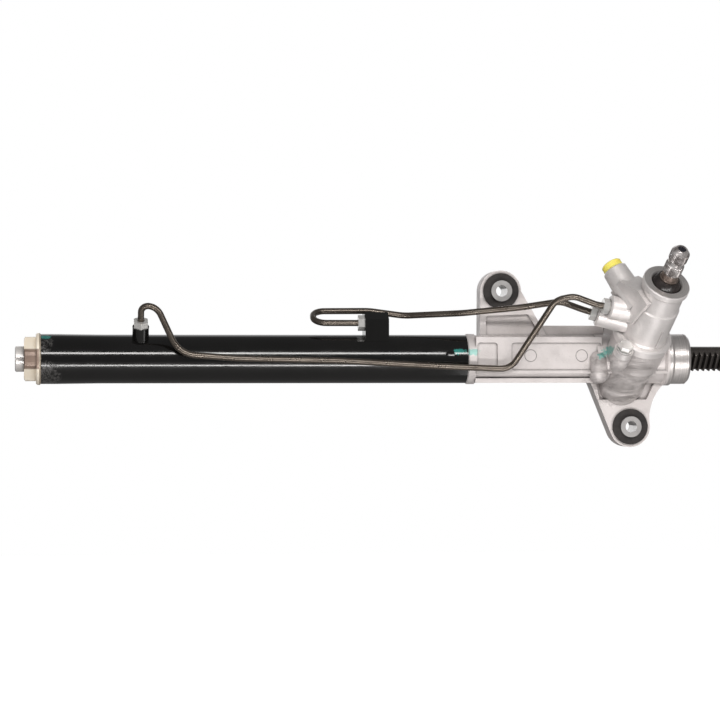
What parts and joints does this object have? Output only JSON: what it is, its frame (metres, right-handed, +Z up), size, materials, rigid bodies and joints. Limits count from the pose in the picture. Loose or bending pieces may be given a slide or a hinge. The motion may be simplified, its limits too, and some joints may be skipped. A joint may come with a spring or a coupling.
{
  "type": "hydraulic rack and pinion steering rack",
  "caption": "Power steering rack: cylinder tube with sliding toothed bar, cast gear housing with bushed ears, slanted pinion and rotary valve housing, steel hydraulic lines.",
  "frame": {"origin": "middle of the right boot seat, on the bar's axis", "axes": "+X along the bar towards its toothed end, +Z up, the input shaft leans up and towards -Y, the front"},
  "size_m": [0.7837, 0.1643, 0.1898],
  "materials": {
    "cylinder_paint": "satin black paint",
    "cast_aluminium": "as cast, blasted",
    "valve_aluminium": "cast with machined faces",
    "rack_steel": "ground and dark oiled",
    "machined_steel": "machined",
    "zinc_yellow_steel": "zinc plated, warm tint",
    "zinc_steel": "zinc plated, silver",
    "line_steel": "dark plated tube",
    "bearing_steel": "polished",
    "bush_sleeve_steel": "plain steel",
    "bush_rubber": "matt",
    "seal_rubber": "matt",
    "ring_plastic": "smooth",
    "bearing_bronze": "dull",
    "cage_plastic": "dull",
    "cap_plastic": "translucent yellow",
    "spring_steel": "blued"
  },
  "bodies": {
    "housing": {"cylinder_tube": "cylinder_paint", "left_port_boss": "cylinder_paint", "right_port_block": "cylinder_paint", "end_nut": "zinc_yellow_steel", "end_nut_o_ring": "seal_rubber", "left_rack_bushing": "bearing_bronze", "left_rack_seal": "seal_rubber", "right_seal_carrier": "machined_steel", "carrier_o_ring": "seal_rubber", "right_rack_seal": "seal_rubber", "right_rack_bushing": "bearing_bronze", "gear_housing": "cast_aluminium", "valve_housing": "valve_aluminium", "joint_bolts": "zinc_steel", "bearing_outer_ring": "bearing_steel", "lower_bearing": "bearing_steel", "lower_valve_seal": "seal_rubber", "joint_o_ring": "seal_rubber", "input_bearing": "bearing_steel", "input_seal": "seal_rubber", "dust_seal": "seal_rubber", "guide_liner": "ring_plastic", "guide_yoke": "cast_aluminium", "guide_springs": "spring_steel", "guide_plug": "machined_steel", "guide_lock_nut": "zinc_steel", "upper_bush_rubber": "bush_rubber", "lower_bush_rubber": "bush_rubber", "upper_bush_sleeve": "bush_sleeve_steel", "lower_bush_sleeve": "bush_sleeve_steel", "left_feed_pipe": "line_steel", "right_feed_pipe": "line_steel", "left_line_cylinder_nut": "zinc_steel", "left_line_valve_nut": "zinc_steel", "right_line_cylinder_nut": "zinc_steel", "right_line_valve_nut": "zinc_steel"},
    "rack": {"rack_bar": "rack_steel", "piston": "machined_steel", "piston_ring": "ring_plastic", "piston_snap_rings": "spring_steel"},
    "pinion": {"pinion_shaft": "machined_steel", "bearing_snap_ring": "spring_steel", "bearing_inner_ring": "bearing_steel", "valve_sleeve": "machined_steel", "valve_sleeve_rings": "ring_plastic"},
    "ball_set": {"bearing_balls": "bearing_steel", "bearing_cage": "cage_plastic"},
    "input_shaft": {"input_shaft": "machined_steel", "torsion_bar": "spring_steel", "torsion_pin": "bearing_steel"},
    "port_cap": {"port_cap": "cap_plastic"}
  },
  "joints": [
    {"name": "rack_slide", "type": "slide", "parent": "housing", "child": "rack", "axis": [1, 0, 0], "range_m": [-0.1416, 0.0084]},
    {"name": "pinion_spin", "type": "hinge", "parent": "housing", "child": "pinion", "pos_m": [-0.04895, -0.00853, -0.00853], "axis": [0.1736, -0.6964, 0.6964], "range_deg": [-71.5, 1194]},
    {"name": "ball_set_spin", "type": "hinge", "parent": "housing", "child": "ball_set", "pos_m": [-0.04895, -0.00853, -0.00853], "axis": [0.1736, -0.6964, 0.6964], "range_deg": [-28, 464.5]},
    {"name": "valve_twist", "type": "hinge", "parent": "pinion", "child": "input_shaft", "pos_m": [-0.04895, -0.00853, -0.00853], "axis": [0.1736, -0.6964, 0.6964], "range_deg": [-6, 6], "stiffness_Nm_per_rad": 70},
    {"name": "cap_pull", "type": "slide", "parent": "housing", "child": "port_cap", "axis": [-0.4309, 0.4019, 0.8079], "range_m": [0, 0.025]}
  ],
  "couplings": [
    {"joint": "pinion_spin", "follows": "rack_slide", "rad_per_m": -147.06},
    {"joint": "ball_set_spin", "follows": "rack_slide", "rad_per_m": -57.163}
  ]
}
